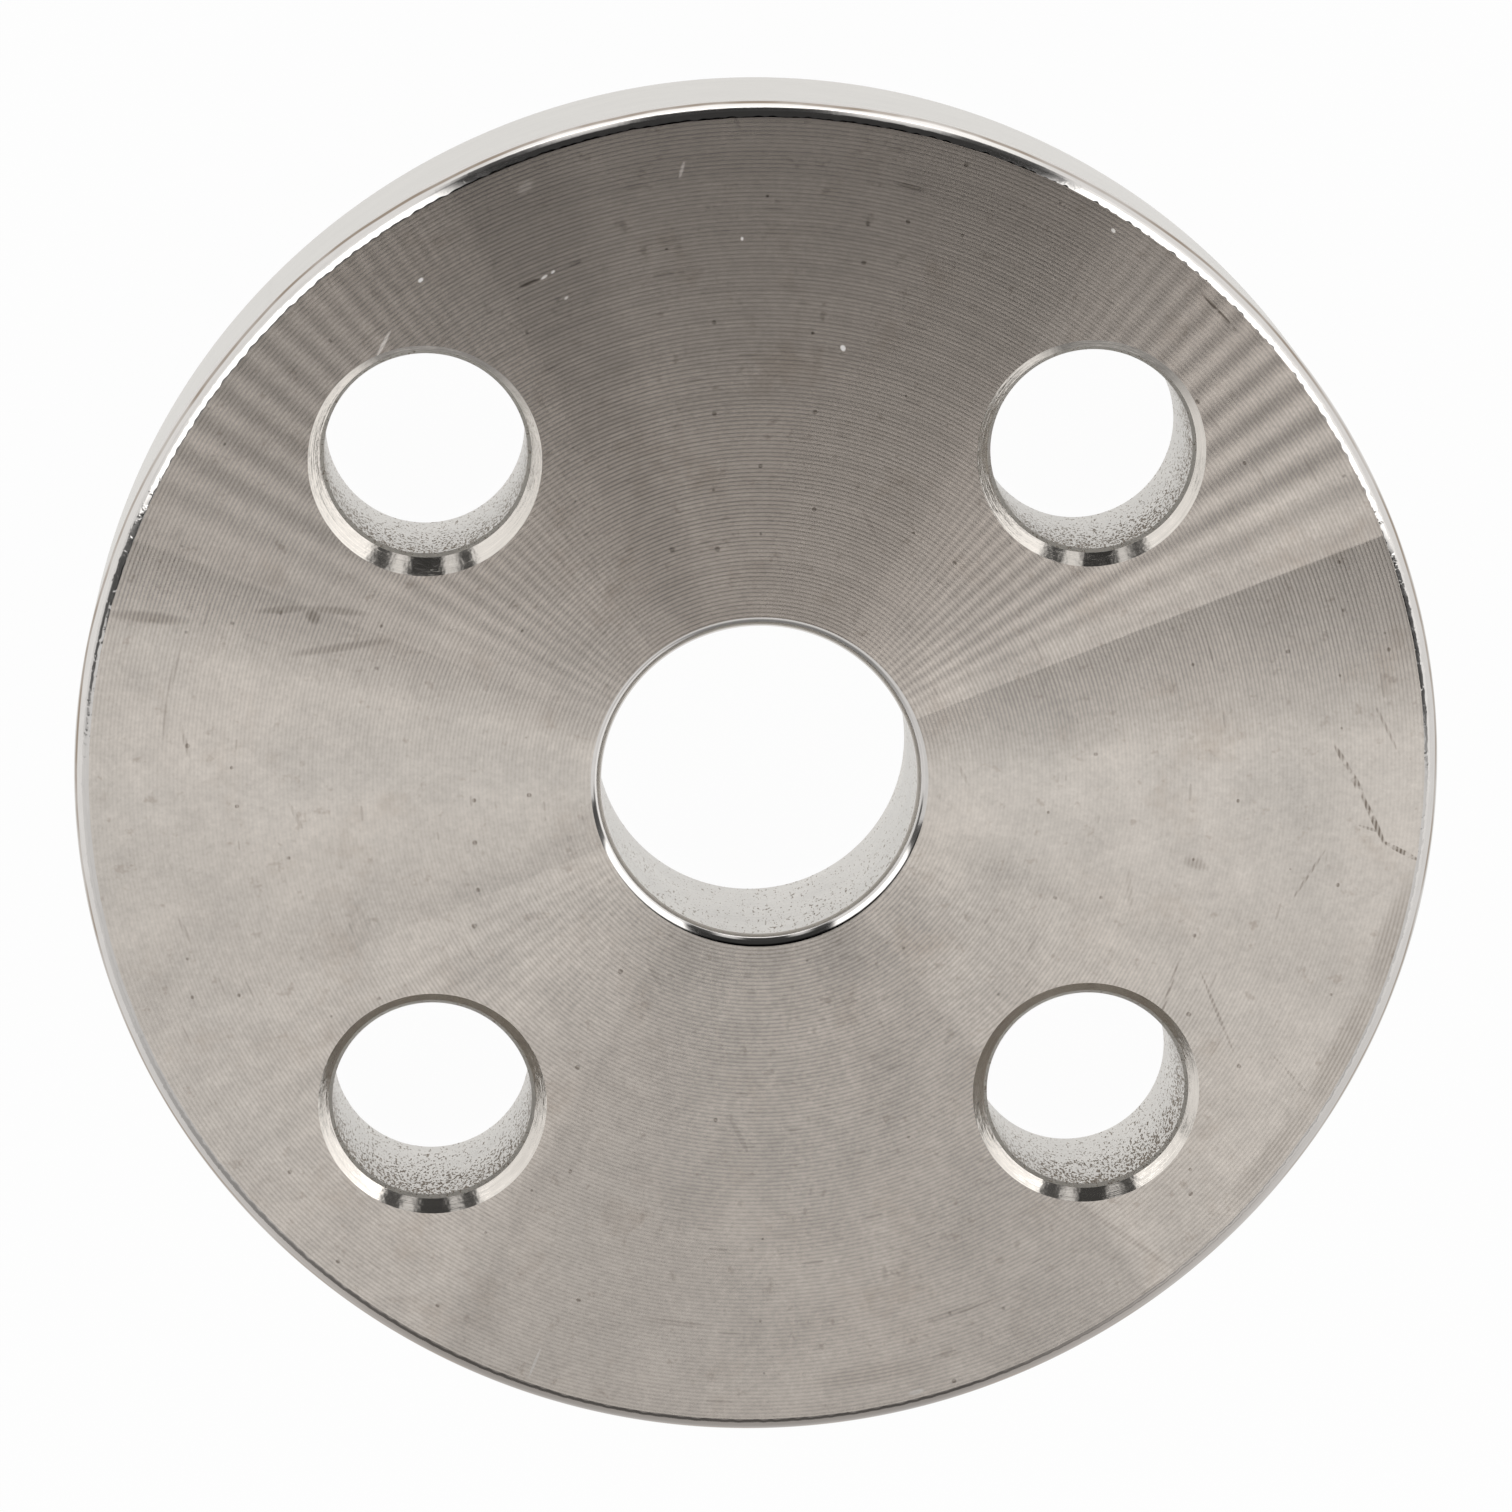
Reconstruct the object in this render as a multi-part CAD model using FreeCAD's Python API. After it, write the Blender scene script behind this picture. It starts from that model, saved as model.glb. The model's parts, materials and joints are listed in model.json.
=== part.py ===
import FreeCAD, Part
import math
import os

# A plate flange: a flat round steel plate, turned on both faces, with a plain bore
# through its middle and a circle of bolt holes round it.
# Units are millimetres. The back face lies on z = 0 with the bore's axis along +Z,
# and the front face looks up. The bolt holes straddle the X and Y centre lines.

# Plate
outside_diameter = 95.0
plate_thickness = 14.0
front_rim_radius = 1.1
back_rim_radius = 0.9

# Bore for the pipe
bore_diameter = 22.0
bore_front_radius = 0.75
bore_back_chamfer = 0.5

# Bolt holes
bolt_circle_diameter = 65.0
bolt_hole_diameter = 14.0
bolt_hole_count = 4
hole_countersink_width = 1.0
hole_countersink_included_angle = 90.0
hole_back_chamfer = 0.5

# How far each hole's cutter runs past the faces of the plate
cutter_overrun = 2.0

full_turn = 360.0
axis_origin = FreeCAD.Vector(0, 0, 0)
bore_axis = FreeCAD.Vector(0, 0, 1)


def point(radius, height):
    """A point of a half section, in the XZ plane."""
    return FreeCAD.Vector(radius, 0, height)


def line(start, end):
    return Part.LineSegment(start, end).toShape()


def quarter_round(centre_radius, centre_height, round_radius, start_angle, end_angle):
    """An arc of a half section, its angles in degrees from the outward radial direction."""

    def on_arc(angle):
        turn = math.radians(angle)
        return point(
            centre_radius + round_radius * math.cos(turn),
            centre_height + round_radius * math.sin(turn),
        )

    middle_angle = (start_angle + end_angle) / 2
    return Part.Arc(on_arc(start_angle), on_arc(middle_angle), on_arc(end_angle)).toShape()


def revolve(edges):
    """Turns a closed half section once round the Z axis."""
    section = Part.Face(Part.Wire(edges))
    return section.revolve(axis_origin, bore_axis, full_turn)


def turned_plate():
    """The plate with its bore: rounded rim edges, a rounded bore mouth, a bevel at the back."""
    rim = outside_diameter / 2
    bore = bore_diameter / 2
    top = plate_thickness

    back_bore_edge = point(bore + bore_back_chamfer, 0)
    back_rim_start = point(rim - back_rim_radius, 0)
    back_rim_end = point(rim, back_rim_radius)
    front_rim_start = point(rim, top - front_rim_radius)
    front_rim_end = point(rim - front_rim_radius, top)
    bore_mouth_start = point(bore + bore_front_radius, top)
    bore_mouth_end = point(bore, top - bore_front_radius)
    bore_wall_end = point(bore, bore_back_chamfer)

    return revolve([
        line(back_bore_edge, back_rim_start),
        quarter_round(rim - back_rim_radius, back_rim_radius, back_rim_radius, -90, 0),
        line(back_rim_end, front_rim_start),
        quarter_round(rim - front_rim_radius, top - front_rim_radius, front_rim_radius, 0, 90),
        line(front_rim_end, bore_mouth_start),
        quarter_round(bore + bore_front_radius, top - bore_front_radius, bore_front_radius, 90, 180),
        line(bore_mouth_end, bore_wall_end),
        line(bore_wall_end, back_bore_edge),
    ])


def bolt_hole_cutter():
    """One bolt hole as a solid: a straight drilled wall, countersunk in front, bevelled behind."""
    wall = bolt_hole_diameter / 2
    half_angle = math.radians(hole_countersink_included_angle / 2)
    outward_per_rise = math.tan(half_angle)
    countersink_depth = hole_countersink_width / outward_per_rise
    top = plate_thickness + cutter_overrun
    bottom = -cutter_overrun

    corners = [
        point(0, bottom),
        point(wall + hole_back_chamfer + cutter_overrun, bottom),
        point(wall, hole_back_chamfer),
        point(wall, plate_thickness - countersink_depth),
        point(wall + hole_countersink_width + cutter_overrun * outward_per_rise, top),
        point(0, top),
    ]
    closed = corners + corners[:1]
    return revolve([line(start, end) for start, end in zip(closed, closed[1:])])


def bolt_hole_cutters():
    """The circle of bolt holes, the first one half a spacing round from the X axis."""
    spacing = full_turn / bolt_hole_count
    cutters = []
    for index in range(bolt_hole_count):
        cutter = bolt_hole_cutter()
        cutter.translate(FreeCAD.Vector(bolt_circle_diameter / 2, 0, 0))
        cutter.rotate(axis_origin, bore_axis, spacing * (index + 0.5))
        cutters.append(cutter)
    return cutters


def flange_plate():
    return turned_plate().cut(bolt_hole_cutters())


os.makedirs("parts", exist_ok=True)
flange_plate().exportStep("parts/flange_plate.step")
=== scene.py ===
import json
import math

import bpy
from mathutils import Matrix, Vector
from mathutils.geometry import delaunay_2d_cdt


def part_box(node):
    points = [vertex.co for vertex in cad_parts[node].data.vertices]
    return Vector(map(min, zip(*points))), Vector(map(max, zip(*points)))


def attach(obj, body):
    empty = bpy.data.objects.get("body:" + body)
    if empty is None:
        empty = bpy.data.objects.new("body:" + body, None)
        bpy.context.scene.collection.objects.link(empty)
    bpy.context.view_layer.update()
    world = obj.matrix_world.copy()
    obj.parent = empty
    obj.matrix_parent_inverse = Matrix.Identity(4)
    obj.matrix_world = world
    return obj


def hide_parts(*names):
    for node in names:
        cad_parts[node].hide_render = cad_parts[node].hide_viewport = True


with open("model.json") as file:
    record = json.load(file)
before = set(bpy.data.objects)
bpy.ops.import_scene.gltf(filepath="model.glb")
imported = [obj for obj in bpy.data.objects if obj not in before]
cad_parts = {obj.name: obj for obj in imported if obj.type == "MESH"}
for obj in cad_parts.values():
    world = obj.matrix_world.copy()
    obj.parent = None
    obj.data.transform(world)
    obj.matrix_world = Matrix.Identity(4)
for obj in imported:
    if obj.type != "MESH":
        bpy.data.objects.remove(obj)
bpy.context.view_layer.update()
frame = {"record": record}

# A turned steel plate flange on a pale floor. Lengths are in metres, unless a comment says
# millimetres. The visible plate is one mesh: rings of vertices round its edges, strips of
# quads between them, and two flat faces.
MM = 0.001
FULL_TURN = 2 * math.pi
QUARTER_TURN = math.pi / 2
ORIGIN = (0.0, 0.0)

# The plate's main sizes, from the frame
MOUNTS = {mount["name"]: mount for mount in frame["record"]["mounts"]}
LOW_CORNER, HIGH_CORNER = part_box("flange_plate")
RIM_RADIUS = (HIGH_CORNER.x - LOW_CORNER.x) / 2
THICKNESS = HIGH_CORNER.z - LOW_CORNER.z
BORE_RADIUS = MOUNTS["bore"]["dims"]["r_mm"] * MM
HOLE_RADIUS = MOUNTS["bolt_holes"]["dims"]["hole_r_mm"] * MM
HOLE_CIRCLE_RADIUS = MOUNTS["bolt_holes"]["dims"]["pcd_mm"] * MM / 2
HOLE_COUNT = MOUNTS["bolt_holes"]["dims"]["count"]

# Edges, as in the construction
FRONT_RIM_ROUND = 1.1 * MM
BACK_RIM_ROUND = 0.9 * MM
BORE_MOUTH_ROUND = 0.75 * MM
BORE_BACK_BEVEL = 0.5 * MM
COUNTERSINK_HALF_ANGLE = math.radians(45)
HOLE_BACK_BEVEL = 0.5 * MM

# The polished edges are convex bevels: they leave the face at this slope, with a sharp corner
BEVEL_ENTRY_SLOPE = math.radians(25)

# A slope is a normal's angle from the axis, outward. These face into a hole or the bore.
WALL_SLOPE = -QUARTER_TURN
THROAT_ENTRY_SLOPE = -0.92 * QUARTER_TURN
BACK_BEVEL_SLOPE = -1.5 * QUARTER_TURN

# The countersinks were cut by hand, so each one differs. The order is from the upper right
# hole round by the upper left. In millimetres: how far the mouth and the throat lie off the
# hole's centre, and how wide the cone is. The tilt is the share of its depth that the cone
# lacks at its upper side, and the power says how closely that keeps to the top.
MOUTH_SHIFTS = [(-0.12, 0.08), (-0.01, -0.08), (0.05, 0.10), (0.05, 0.33)]
THROAT_SHIFTS = [(-0.05, 0.26), (0.05, 0.30), (0.02, 0.22), (0.12, 0.38)]
MOUTH_WIDTHS = [0.92, 1.03, 1.0, 1.0]
CONE_TILTS = [0.35, 0.35, 0.05, 0.05]
CONE_TILT_POWER = 3
THROAT_ROUND = 0.25 * MM

# The front face's outer edge is ragged, most of all at one angle. Its ripples are given as
# height, waves a turn, how far and how often the waves swing to and fro, and their start.
BURR_REACH = 0.055 * MM
BURR_LEAST = 0.55
BURR_RISE = 0.85
BURR_ANGLE = math.radians(50)
BURR_SPREAD = math.radians(22)
BURR_RIPPLES = [(1.0, 331, 2.5, 17, 0.0), (0.8, 211, 1.5, 29, 0.0), (0.6, 97, 0.0, 0, 0.7)]

# How much of the raggedness each ring of the bevel keeps, from the face outward
BURR_SHARES = [1.0, 1.0, 0.7, 0.4, 0.15]

# How finely the visible mesh is cut
RIM_SEGMENTS = 1800
BORE_SEGMENTS = 720
HOLE_SEGMENTS = 288
ROUND_STEPS = 12

# How a flat face is triangulated: everything within its convex hull, with this tolerance
HULL_TRIANGLES = 0
MERGE_DISTANCE = 1e-9

# The zones of the plate's surface, each with a material of its own
ZONES = [
    "front_face", "rim_round", "rim_side", "bore_mouth",
    "bore_wall", "countersink", "hole_wall", "back_face",
]
ZONE = {name: index for index, name in enumerate(ZONES)}


def add_mesh(name, points, faces):
    """A mesh object in the scene."""
    mesh = bpy.data.meshes.new(name)
    mesh.from_pydata(points, [], faces)
    thing = bpy.data.objects.new(name, mesh)
    bpy.context.scene.collection.objects.link(thing)
    return thing


def hole_centres():
    """The bolt holes' centres, the first one half a spacing round from the X axis."""
    spacing = FULL_TURN / HOLE_COUNT
    for index in range(HOLE_COUNT):
        angle = spacing * (index + 0.5)
        yield HOLE_CIRCLE_RADIUS * math.cos(angle), HOLE_CIRCLE_RADIUS * math.sin(angle)


def shifted(centre, shift):
    """A centre moved by a shift in millimetres."""
    return centre[0] + shift[0] * MM, centre[1] + shift[1] * MM


def value_at(given, angle):
    return given(angle) if callable(given) else given


class Shell:
    """Collects the plate's rings, strips and flat faces, with a true normal at each corner."""

    def __init__(self):
        self.points = []
        self.faces = []
        self.normals = []
        self.zones = []

    def ring(self, centre, radius, height, count):
        """A closed ring of vertices, counter-clockwise seen from the front. Radius and height may
        each be a function of the angle."""
        first = len(self.points)
        for step in range(count):
            angle = FULL_TURN * step / count
            reach = value_at(radius, angle)
            place = (centre[0] + reach * math.cos(angle), centre[1] + reach * math.sin(angle))
            self.points.append((*place, value_at(height, angle)))
        return list(range(first, first + count))

    def strip(self, ring_a, ring_b, slope_a, slope_b, zone):
        """Quads from one ring to the next. A slope may be a function of the angle."""
        count = len(ring_a)
        for step in range(count):
            after = (step + 1) % count
            self.faces.append((ring_a[step], ring_a[after], ring_b[after], ring_b[step]))
            self.zones.append(ZONE[zone])
            for where, slope in ((step, slope_a), (after, slope_a), (after, slope_b), (step, slope_b)):
                angle = FULL_TURN * where / count
                slope = value_at(slope, angle)
                self.normals.append((
                    math.sin(slope) * math.cos(angle),
                    math.sin(slope) * math.sin(angle),
                    math.cos(slope),
                ))

    def flat(self, rings, facing, zone):
        """A flat face between an outer ring and the rings of its holes. Dips in the outer ring are
        filled up to its hull."""
        members = [index for ring in rings for index in ring]
        owner = {index: number for number, ring in enumerate(rings) for index in ring}
        local = {index: place for place, index in enumerate(members)}
        edges = []
        for ring in rings:
            edges += [(local[a], local[b]) for a, b in zip(ring, ring[1:] + ring[:1])]
        flat_points = [Vector(self.points[index][:2]) for index in members]
        triangles = delaunay_2d_cdt(flat_points, edges, [], HULL_TRIANGLES, MERGE_DISTANCE)[2]
        for triangle in triangles:
            corners = [members[place] for place in triangle]
            owners = {owner[index] for index in corners}
            fills_a_hole = len(owners) == 1 and owners != {0}
            if fills_a_hole:
                continue
            if facing < 0:
                corners.reverse()
            self.faces.append(tuple(corners))
            self.zones.append(ZONE[zone])
            self.normals += [(0.0, 0.0, float(facing))] * len(corners)

    def build(self, name):
        piece = add_mesh(name, self.points, self.faces)
        mesh = piece.data
        mesh.polygons.foreach_set("material_index", self.zones)
        mesh.polygons.foreach_set("use_smooth", [True] * len(self.faces))
        mesh.update()
        mesh.normals_split_custom_set(self.normals)
        return piece


def rim_burr(angle):
    """The small ragged waviness of the front face's outer edge, strongest at the upper right."""
    strength = BURR_LEAST + BURR_RISE * math.exp(-((angle - BURR_ANGLE) / BURR_SPREAD) ** 2)
    ripple = 0.0
    for height, waves, swing, swing_waves, start in BURR_RIPPLES:
        ripple += height * math.sin(waves * angle + swing * math.sin(swing_waves * angle) + start)
    return BURR_REACH * strength * ripple


def bevel_arc(size):
    """Points of a convex bevel as wide as it is deep: inset from its outer corner, depth, slope."""
    entry = BEVEL_ENTRY_SLOPE
    leave = QUARTER_TURN - entry
    radius = size / (math.sin(leave) - math.sin(entry))
    for step in range(ROUND_STEPS + 1):
        slope = entry + (leave - entry) * step / ROUND_STEPS
        inset = size - radius * (math.sin(slope) - math.sin(entry))
        yield inset, radius * (math.cos(entry) - math.cos(slope)), slope


def rim(shell):
    """The plate's rim, from the back face round to the front face. Gives its loops in the front
    and the back face."""
    rings = []
    for step in range(ROUND_STEPS + 1):
        slope = math.pi - QUARTER_TURN * step / ROUND_STEPS
        inset = BACK_RIM_ROUND * (1 - math.sin(slope))
        rings.append((RIM_RADIUS - inset, BACK_RIM_ROUND * (1 + math.cos(slope)), slope))
    for inset, depth, slope in reversed(list(bevel_arc(FRONT_RIM_ROUND))):
        rings.append((RIM_RADIUS - inset, THICKNESS - depth, slope))
    shares = [0.0] * (len(rings) - len(BURR_SHARES)) + BURR_SHARES[::-1]
    placed = []
    for (radius, height, _), share in zip(rings, shares):
        placed.append(shell.ring(
            ORIGIN, lambda angle: radius + share * rim_burr(angle), height, RIM_SEGMENTS,
        ))
    for place in range(len(rings) - 1):
        if place == ROUND_STEPS:
            shell.strip(placed[place], placed[place + 1], QUARTER_TURN, QUARTER_TURN, "rim_side")
        else:
            shell.strip(placed[place], placed[place + 1], rings[place][2], rings[place + 1][2], "rim_round")
    return placed[-1], placed[0]


def bore(shell):
    """The bore, from the front face down to the back face. Gives its loops in the two faces."""
    rings = []
    for inset, depth, slope in bevel_arc(BORE_MOUTH_ROUND):
        rings.append((BORE_RADIUS + inset, THICKNESS - depth, -slope))
    placed = [shell.ring(ORIGIN, radius, height, BORE_SEGMENTS) for radius, height, _ in rings]
    for place in range(len(rings) - 1):
        shell.strip(placed[place], placed[place + 1], rings[place][2], rings[place + 1][2], "bore_mouth")
    wall_end = shell.ring(ORIGIN, BORE_RADIUS, BORE_BACK_BEVEL, BORE_SEGMENTS)
    back = shell.ring(ORIGIN, BORE_RADIUS + BORE_BACK_BEVEL, 0.0, BORE_SEGMENTS)
    shell.strip(placed[-1], wall_end, WALL_SLOPE, WALL_SLOPE, "bore_wall")
    shell.strip(wall_end, back, BACK_BEVEL_SLOPE, BACK_BEVEL_SLOPE, "bore_mouth")
    return placed[0], back


def bolt_hole(shell, centre, mouth_shift, throat_shift, mouth_width, tilt):
    """One bolt hole with its countersink. The round at its throat has the bore wall's finish.
    Gives its loops in the two faces."""
    mouth_centre = shifted(centre, mouth_shift)
    throat_centre = shifted(centre, throat_shift)
    width = mouth_width * MM - THROAT_ROUND

    def depth(angle):
        upper = (1 + math.sin(angle)) / 2
        return width / math.tan(COUNTERSINK_HALF_ANGLE) * (1 - tilt * upper ** CONE_TILT_POWER)

    def cone_slope(angle):
        return -math.atan2(depth(angle), width)

    def throat_height(angle):
        return THICKNESS - depth(angle)

    def wall_height(angle):
        return throat_height(angle) - THROAT_ROUND

    mouth = shell.ring(mouth_centre, HOLE_RADIUS + mouth_width * MM, THICKNESS, HOLE_SEGMENTS)
    throat = shell.ring(throat_centre, HOLE_RADIUS + THROAT_ROUND, throat_height, HOLE_SEGMENTS)
    wall_top = shell.ring(throat_centre, HOLE_RADIUS, wall_height, HOLE_SEGMENTS)
    wall_end = shell.ring(centre, HOLE_RADIUS, HOLE_BACK_BEVEL, HOLE_SEGMENTS)
    back = shell.ring(centre, HOLE_RADIUS + HOLE_BACK_BEVEL, 0.0, HOLE_SEGMENTS)
    shell.strip(mouth, throat, cone_slope, cone_slope, "countersink")
    shell.strip(throat, wall_top, THROAT_ENTRY_SLOPE, WALL_SLOPE, "bore_wall")
    shell.strip(wall_top, wall_end, WALL_SLOPE, WALL_SLOPE, "hole_wall")
    shell.strip(wall_end, back, BACK_BEVEL_SLOPE, BACK_BEVEL_SLOPE, "countersink")
    return mouth, back


def plate_shell():
    shell = Shell()
    loops = [rim(shell), bore(shell)]
    for centre, *cut in zip(hole_centres(), MOUTH_SHIFTS, THROAT_SHIFTS, MOUTH_WIDTHS, CONE_TILTS):
        loops.append(bolt_hole(shell, centre, *cut))
    shell.flat([front for front, _ in loops], 1, "front_face")
    shell.flat([back for _, back in loops], -1, "back_face")
    return shell.build("flange_plate_turned")


# Sockets of the mix node while it mixes colours
MIX_AMOUNT, MIX_FIRST, MIX_SECOND, MIX_RESULT = 0, 6, 7, 2


class Graph:
    """Short calls that add shader nodes and link them."""

    def __init__(self, material):
        material.use_nodes = True
        self.tree = material.node_tree
        self.tree.nodes.clear()

    def node(self, kind, **settings):
        made = self.tree.nodes.new(kind)
        for key, value in settings.items():
            setattr(made, key, value)
        return made

    def feed(self, socket, value):
        if isinstance(value, bpy.types.NodeSocket):
            self.tree.links.new(value, socket)
        else:
            socket.default_value = value

    def math(self, operation, *values):
        made = self.node("ShaderNodeMath", operation=operation)
        for socket, value in zip(made.inputs, values):
            self.feed(socket, value)
        return made.outputs[0]

    def product(self, *values):
        result = values[0]
        for value in values[1:]:
            result = self.math("MULTIPLY", result, value)
        return result

    def total(self, *values):
        result = values[0]
        for value in values[1:]:
            result = self.math("ADD", result, value)
        return result

    def centred(self, value, size):
        """Shifts a 0 to 1 value so that its middle is nought, and scales it."""
        return self.math("MULTIPLY", self.math("SUBTRACT", value, 0.5), size)

    def remap(self, value, low, high, to_low=0.0, to_high=1.0, smooth=True):
        made = self.node("ShaderNodeMapRange", interpolation_type="SMOOTHSTEP" if smooth else "LINEAR")
        given = {"Value": value, "From Min": low, "From Max": high, "To Min": to_low, "To Max": to_high}
        for name, number in given.items():
            self.feed(made.inputs[name], number)
        return made.outputs[0]

    def vector(self, operation, *values, scale=None):
        made = self.node("ShaderNodeVectorMath", operation=operation)
        for socket, value in zip(made.inputs, values):
            self.feed(socket, value)
        if scale is not None:
            self.feed(made.inputs["Scale"], scale)
        return made.outputs["Value" if operation == "LENGTH" else "Vector"]

    def combine(self, x, y, z):
        made = self.node("ShaderNodeCombineXYZ")
        for socket, value in zip(made.inputs, (x, y, z)):
            self.feed(socket, value)
        return made.outputs[0]

    def position(self):
        """X, Y and Z on the object, in metres."""
        split = self.node("ShaderNodeSeparateXYZ")
        self.feed(split.inputs[0], self.node("ShaderNodeTexCoord").outputs["Object"])
        return split.outputs[0], split.outputs[1], split.outputs[2]

    def turn(self, x, y):
        """The direction of x and y as a part of a full turn, 0 to 1, from the X axis."""
        turns = self.math("DIVIDE", self.math("ARCTAN2", y, x), FULL_TURN)
        return self.math("FRACT", self.math("ADD", turns, 1.0))

    def noise(self, vector, scale, detail, roughness=0.5):
        """Noise of this many cells a metre, with finer layers and how strong those are."""
        made = self.node("ShaderNodeTexNoise", noise_dimensions="3D")
        self.feed(made.inputs["Vector"], vector)
        made.inputs["Scale"].default_value = scale
        made.inputs["Detail"].default_value = detail
        made.inputs["Roughness"].default_value = roughness
        return made.outputs[0]

    def noise_line(self, value, scale, detail):
        made = self.node("ShaderNodeTexNoise", noise_dimensions="1D")
        self.feed(made.inputs["W"], value)
        made.inputs["Scale"].default_value = scale
        made.inputs["Detail"].default_value = detail
        return made.outputs[0]

    def white(self, value):
        """A random number from 0 to 1 for each whole value."""
        made = self.node("ShaderNodeTexWhiteNoise", noise_dimensions="1D")
        self.feed(made.inputs["W"], self.math("ADD", self.math("FLOOR", value), 0.5))
        return made.outputs[0]

    def ramp(self, turn, stops):
        """A grey level by the turn round the axis, 0 to 1. Stops are (degrees, level)."""
        made = self.node("ShaderNodeValToRGB")
        elements = made.color_ramp.elements
        while len(elements) > 1:
            elements.remove(elements[-1])
        for place, (degrees, level) in enumerate(stops):
            element = elements[0] if place == 0 else elements.new(degrees / 360)
            element.position = degrees / 360
            element.color = (level, level, level, 1.0)
        self.feed(made.inputs[0], turn)
        return made.outputs[0]

    def mix(self, amount, colour_a, colour_b):
        made = self.node("ShaderNodeMix", data_type="RGBA")
        self.feed(made.inputs[MIX_AMOUNT], amount)
        self.feed(made.inputs[MIX_FIRST], colour_a)
        self.feed(made.inputs[MIX_SECOND], colour_b)
        return made.outputs[MIX_RESULT]

    def bump(self, height):
        """Height is in metres."""
        made = self.node("ShaderNodeBump")
        made.inputs["Strength"].default_value = 1.0
        made.inputs["Distance"].default_value = 1.0
        self.feed(made.inputs["Height"], height)
        return made.outputs[0]

    def surface(self, shader, kind="ShaderNodeOutputMaterial"):
        self.feed(self.node(kind).inputs[0], shader.outputs[0])

    def steel(self, colour, roughness, height):
        """Bare metal with a relief, its height in metres."""
        shader = self.node("ShaderNodeBsdfPrincipled")
        shader.inputs["Metallic"].default_value = 1.0
        self.feed(shader.inputs["Base Color"], colour)
        self.feed(shader.inputs["Roughness"], roughness)
        self.feed(shader.inputs["Normal"], self.bump(height))
        self.surface(shader)


STEEL = (0.63, 0.585, 0.535, 1.0)
WARM_STEEL = (0.645, 0.574, 0.511, 1.0)
POLISHED = (0.70, 0.675, 0.65, 1.0)
# The rim's tint under its painted dark reflection along the lower side
SHADED_RIM_TINT = (0.72, 0.655, 0.60, 1.0)
CONE = (0.76, 0.715, 0.66, 1.0)
WALL = (0.72, 0.70, 0.665, 1.0)
GRIME = (0.20, 0.165, 0.135, 1.0)
SOOT = (0.27, 0.21, 0.155, 1.0)
# The white of the nicks' painted glints
PAINTED_GLINT_WHITE = (1.0, 0.98, 0.95, 1.0)
BLACK = (0.0, 0.0, 0.0, 1.0)

# The turned faces: one groove a turn of the tool, and a gloss that is wide across the
# grooves and narrow along them. The slope, lean and sway differ a little from groove to
# groove. A crest sets in between two distances from the groove's middle, in pitches.
FACE_ROUGHNESS = 0.0632
FACE_ANISOTROPY = 0.96
GROOVE_PITCH = 0.281 * MM
GROOVE_SLOPES = (0.060, 0.100)
GROOVE_CREST = (0.1, 0.42)
GROOVE_LEAN = 0.006
GROOVE_LEAN_SEED = 71.0
GROOVE_SWAY = 0.010
GROOVE_SWAY_NOISE = (500.0, 3.0)

# The grooves fade near the top and the bottom of the face's outer part: how suddenly they do
# so with the angle, by how much at the bottom and the top, and from the bore to the rim
FADE_POWER = 8.0
FADE_HEIGHTS = (-0.5, 0.5, 0.45, 1.0)
FADE_RADII = (12 * MM, 43 * MM, 0.12, 0.62)

# Painted shade darkens the crests between the grooves, least near the face's left and right. The balance is
# the part of it by which the grooves are lighter instead, as painted highlight.
CREST_PAINTED_SHADE = 0.16
SIDE_PAINTED_SHADE = 0.3 * CREST_PAINTED_SHADE
PAINTED_SHADE_SIDES = (0.05, 0.5)
PAINTED_SHADE_LIFT = 0.12
PAINTED_HIGHLIGHT_BALANCE = 0.45

# The steel has a painted warm tint of the shade near the top, and less near the bottom: how warm it is all
# over, how warm at the bottom as a part of the top, and how unevenly
WARM_BASE = 0.1
WARM_BOTTOM = 0.35
WARM_CLOUD = 0.8

# The face's uneven tone: three noises, how far each shades it and how far it leans its grooves
CLOUD, CLOUD_SHADE, CLOUD_LEAN = (70.0, 4.0, 0.6), 0.36, 0.020
SMEAR, SMEAR_SHADE, SMEAR_LEAN = (260.0, 3.0, 0.65), 0.36, 0.016
FINE, FINE_SHADE, FINE_LEAN = (2600.0, 2.0, 0.65), 0.34, 0.024

# Soft brown patches on the face: their noise, the levels between which it sets in, how dark
# they get, and their colour
PATCHES = [
    ((150.0, 4.0, 0.7), (0.54, 0.76), 0.32, (0.42, 0.34, 0.27, 1.0)),
    ((800.0, 3.0, 0.7), (0.60, 0.74), 0.40, (0.36, 0.30, 0.25, 1.0)),
]

# Specks of dirt: cells a metre, the largest speck as a part of its cell, and the share of cells
# with one. Dashes run round the face and scuffs aslant, as their grids are stretched. The
# smallest speck is a part of the largest.
DOTS, DOT_DEPTH = (300.0, 0.055, 0.22), 0.75
DASHES, SCUFFS, DASH_DEPTH = (160.0, 0.13, 0.16), (420.0, 0.10, 0.08), 0.22
DASH_ACROSS, DASH_ALONG = 5.0, 0.035
SCUFF_SHEAR, SCUFF_SQUEEZE = 0.5, 0.12
SPECK_LEAST = 0.4

# How strongly dirt, scores and smudges show in the bottoms of the grooves, as a part of how
# they show on the crests
DIRT_IN_GROOVE = 0.5
SCORE_IN_GROOVE = 0.4
SMUDGE_IN_GROOVE = 0.5

# Scores are broken by a noise and smudges are uneven by the smear
SCORE_BREAK, SCORE_BREAK_LEVELS = (1400.0, 3.0), (0.30, 0.52)
SMUDGE_LEVELS = (0.3, 0.55, 0.6, 1.0)

# The share of a mark's reach that has its full depth, how far a mark reaches past its middle
# as a share of its length, and how far a nick leans the face
SCORE_CORE = 0.6
SMUDGE_CORE = 0.35
NICK_CORE = 0.5
STROKE_REACH = 0.6
NICK_LEAN = 0.25
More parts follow.
